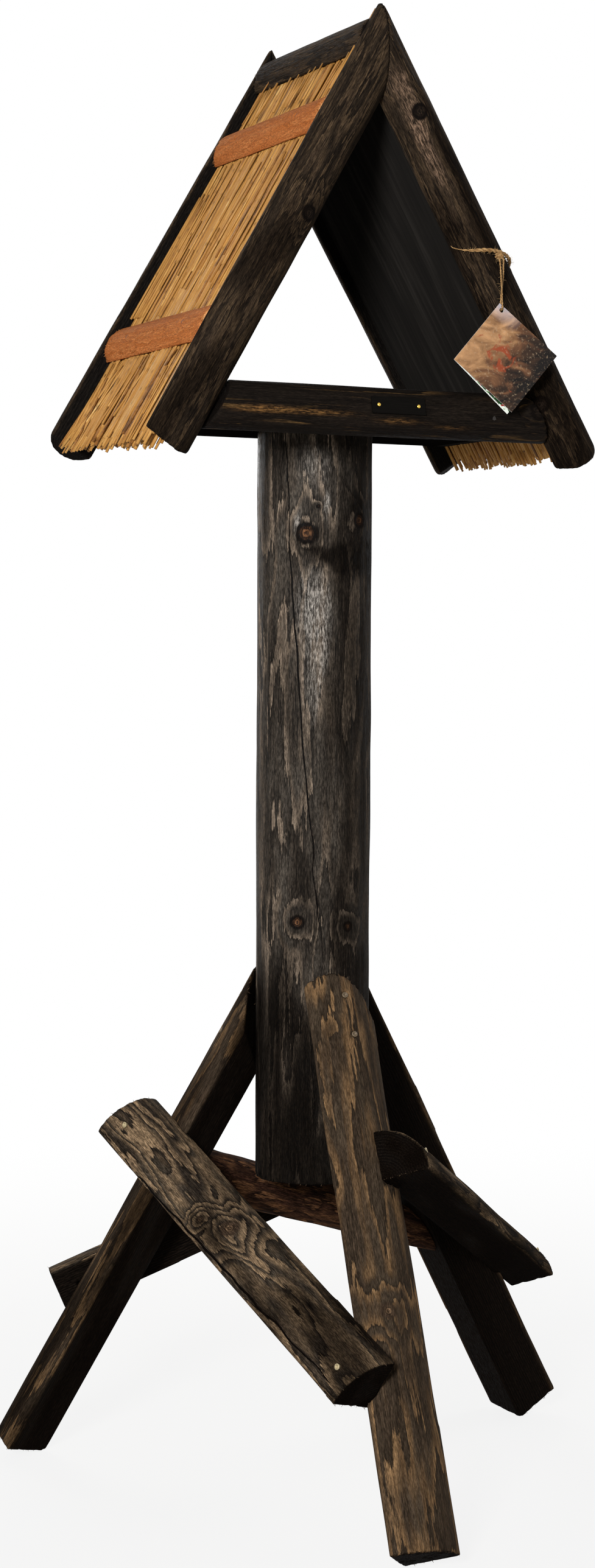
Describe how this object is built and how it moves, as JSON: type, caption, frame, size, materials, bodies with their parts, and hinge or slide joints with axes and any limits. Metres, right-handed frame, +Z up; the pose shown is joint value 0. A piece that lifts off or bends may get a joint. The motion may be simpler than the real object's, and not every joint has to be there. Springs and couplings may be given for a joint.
{
  "type": "bird table",
  "caption": "Free-standing bird table: a round post on a tripod of split logs with spiral braces, under an open gabled house with a reed roof and a swinging tag",
  "frame": {"origin": "on the ground under the middle of the whole object's box", "axes": "+Z up, -Y the front gable of the house with the name plate and the tag, +X the right side seen from the front"},
  "size_m": [0.632, 0.6068, 1.5007],
  "materials": {
    "post_wood": "stained blackish-brown log, satin",
    "split_wood": "stained split log with tan grain patches, satin",
    "bark_wood": "reddish-brown log with patches of bark, matt",
    "barge_wood": "stained half-round log, satin",
    "batten_wood": "orange-brown planed slat, satin",
    "panel_board": "near-black board, matt",
    "reed": "golden dry reed, matt",
    "twine": "natural jute twine",
    "card": "printed card, slight sheen",
    "plate": "bare black plate",
    "brass": "polished brass",
    "steel": "dull screw steel"
  },
  "bodies": {
    "table": {"barge_front_left": "barge_wood", "barge_front_right": "barge_wood", "barge_rear_left": "barge_wood", "barge_rear_right": "barge_wood", "batten_left_lower": "batten_wood", "batten_left_upper": "batten_wood", "batten_right_lower": "batten_wood", "batten_right_upper": "batten_wood", "brace_front": "split_wood", "brace_rear": "split_wood", "brace_right": "split_wood", "brace_screw_front_lower": "steel", "brace_screw_front_upper": "steel", "brace_screw_rear_lower": "steel", "brace_screw_rear_upper": "steel", "brace_screw_right_lower": "steel", "brace_screw_right_upper": "steel", "floor_board": "panel_board", "floor_screw_left": "steel", "floor_screw_right": "steel", "leg_front": "split_wood", "leg_left": "split_wood", "leg_right": "split_wood", "leg_screw_front_lower": "steel", "leg_screw_front_upper": "steel", "leg_screw_left_lower": "steel", "leg_screw_left_upper": "steel", "leg_screw_right_lower": "steel", "leg_screw_right_upper": "steel", "nail_batten_left_lower_front": "steel", "nail_batten_left_lower_rear": "steel", "nail_batten_left_upper_front": "steel", "nail_batten_left_upper_rear": "steel", "nail_batten_right_lower_front": "steel", "nail_batten_right_lower_rear": "steel", "nail_batten_right_upper_front": "steel", "nail_batten_right_upper_rear": "steel", "nail_rail_front_left": "steel", "nail_rail_front_right": "steel", "nail_rail_rear_left": "steel", "nail_rail_rear_right": "steel", "name_plate": "plate", "name_plate_pin_left": "brass", "name_plate_pin_right": "brass", "post": "post_wood", "rail_front": "barge_wood", "rail_rear": "barge_wood", "ridge_slat_left": "barge_wood", "ridge_slat_right": "barge_wood", "roof_panel_left": "panel_board", "roof_panel_right": "panel_board", "stretcher_rear": "bark_wood", "stretcher_screw_left": "steel", "stretcher_screw_right": "steel", "thatch_left": "reed", "thatch_right": "reed", "twine_tie": "twine"},
    "tag": {"tag_card": "card", "tag_twine": "twine"}
  },
  "joints": [
    {"name": "tag_swing", "type": "hinge", "parent": "table", "child": "tag", "pos_m": [0.07914, -0.10878, 1.25633], "axis": [0, 1, 0], "range_deg": [-20, 20]}
  ]
}
